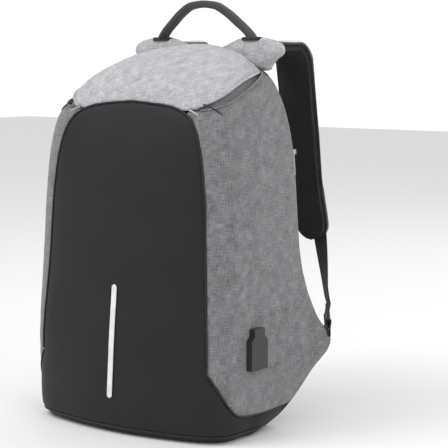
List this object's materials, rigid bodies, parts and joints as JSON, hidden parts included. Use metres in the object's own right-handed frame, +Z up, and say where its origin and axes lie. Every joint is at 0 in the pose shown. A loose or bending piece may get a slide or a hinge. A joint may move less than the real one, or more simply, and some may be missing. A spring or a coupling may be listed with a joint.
{
  "type": "usb charging backpack",
  "caption": "Hard-fronted commuter backpack with a domed top, side USB socket, rear-opening back panel, shoulder straps and a carry handle.",
  "frame": {"origin": "on the floor under the middle of the base", "axes": "+Z up, -Y the plain front, +Y the wearer's back, +X the side with the USB socket"},
  "size_m": [0.3558, 0.3083, 0.518],
  "materials": {
    "black_fabric": "matt coated polyester",
    "grey_fabric": "heather linen-look weave",
    "reflective": "reflective tape",
    "stiffener": "polyethylene sheet",
    "lining_fabric": "plain lining",
    "black_plastic": "satin",
    "plated_steel": "plated",
    "bank_case": "satin",
    "foam_board": "cloth-covered foam board",
    "zip_tape": "woven tape",
    "webbing": "ribbed webbing",
    "mesh_fabric": "air mesh",
    "handle_fabric": "ribbed webbing"
  },
  "bodies": {
    "shell": {"front_panel": "black_fabric", "base_panel": "black_fabric", "side_panel_right": "grey_fabric", "side_panel_left": "grey_fabric", "top_panel": "grey_fabric", "pleat_right": "grey_fabric", "pleat_left": "grey_fabric", "lower_rear_panel": "black_fabric", "reflective_strip": "reflective", "front_board": "stiffener", "base_board": "stiffener", "lining": "lining_fabric", "organiser_pocket": "lining_fabric", "usb_housing": "black_plastic", "usb_socket": "plated_steel", "usb_tongue": "black_plastic", "usb_cable": "black_plastic", "power_bank_pocket": "lining_fabric", "zip_tape_shell": "zip_tape", "anchor_loop_right": "webbing", "anchor_loop_left": "webbing"},
    "door": {"back_board": "foam_board", "back_foam": "mesh_fabric", "yoke": "grey_fabric", "handle_base_right": "webbing", "handle_base_left": "webbing", "luggage_strap": "webbing", "laptop_sleeve": "lining_fabric", "sleeve_strap": "webbing", "zip_tape_door": "zip_tape", "zip_coil": "black_plastic", "webbing_right": "webbing", "webbing_left": "webbing"},
    "handle": {"handle": "handle_fabric"},
    "strap_right": {"strap_pad_right": "mesh_fabric", "strap_cover_right": "grey_fabric"},
    "strap_left": {"strap_pad_left": "mesh_fabric", "strap_cover_left": "grey_fabric"},
    "lock_right": {"ladder_lock_right": "black_plastic"},
    "lock_left": {"ladder_lock_left": "black_plastic"},
    "slider_right": {"zip_slider_right": "plated_steel"},
    "slider_left": {"zip_slider_left": "plated_steel"},
    "pull_right": {"zip_pull_right": "plated_steel"},
    "pull_left": {"zip_pull_left": "plated_steel"},
    "bank": {"power_bank": "bank_case", "usb_plug": "black_plastic"},
    "button": {"power_button": "black_plastic"}
  },
  "joints": [
    {"name": "door_hinge", "type": "hinge", "parent": "shell", "child": "door", "pos_m": [0, 0.106, 0.106], "axis": [-1, 0, 0], "range_deg": [0, 100], "stiffness_Nm_per_rad": 6, "deforming": ["webbing_right", "webbing_left"]},
    {"name": "handle_swing", "type": "hinge", "parent": "door", "child": "handle", "pos_m": [0, 0.091, 0.4805], "axis": [1, 0, 0], "range_deg": [-55, 60], "stiffness_Nm_per_rad": 0.2},
    {"name": "strap_right_swing", "type": "hinge", "parent": "door", "child": "strap_right", "pos_m": [0.07, 0.1035, 0.451], "axis": [0.9744, -0.225, 0], "range_deg": [-8, 12], "stiffness_Nm_per_rad": 4, "deforming": ["strap_pad_right", "strap_cover_right", "webbing_right"]},
    {"name": "strap_left_swing", "type": "hinge", "parent": "door", "child": "strap_left", "pos_m": [-0.07, 0.1035, 0.451], "axis": [0.9744, 0.225, 0], "range_deg": [-8, 12], "stiffness_Nm_per_rad": 4, "deforming": ["strap_pad_left", "strap_cover_left", "webbing_left"]},
    {"name": "lock_right_tilt", "type": "hinge", "parent": "shell", "child": "lock_right", "pos_m": [0.16214, 0.12567, 0.11866], "axis": [0.4714, -0.5702, 0.6728], "range_deg": [-20, 0], "stiffness_Nm_per_rad": 0.05},
    {"name": "lock_left_tilt", "type": "hinge", "parent": "shell", "child": "lock_left", "pos_m": [-0.16214, 0.12567, 0.11866], "axis": [0.4714, 0.5702, -0.6728], "range_deg": [0, 20], "stiffness_Nm_per_rad": 0.05},
    {"name": "slider_right_slide", "type": "slide", "parent": "door", "child": "slider_right", "axis": [0.0788, 0, -0.9969], "range_m": [0, 0.1], "stiffness_N_per_m": 20},
    {"name": "slider_left_slide", "type": "slide", "parent": "door", "child": "slider_left", "axis": [-0.0788, 0, -0.9969], "range_m": [0, 0.1], "stiffness_N_per_m": 20},
    {"name": "pull_right_swing", "type": "hinge", "parent": "slider_right", "child": "pull_right", "pos_m": [0.13272, 0.0893, 0.33349], "axis": [0.9969, 0, 0.0788], "range_deg": [0, 100]},
    {"name": "pull_left_swing", "type": "hinge", "parent": "slider_left", "child": "pull_left", "pos_m": [-0.13272, 0.0893, 0.33349], "axis": [0.9969, 0, -0.0788], "range_deg": [0, 100]},
    {"name": "bank_slide", "type": "slide", "parent": "shell", "child": "bank", "axis": [0, 0, 1], "range_m": [0, 0.06], "deforming": ["usb_cable"]},
    {"name": "button_press", "type": "slide", "parent": "bank", "child": "button", "axis": [0, 0, -1], "range_m": [0, 0.0008], "stiffness_N_per_m": 800}
  ]
}
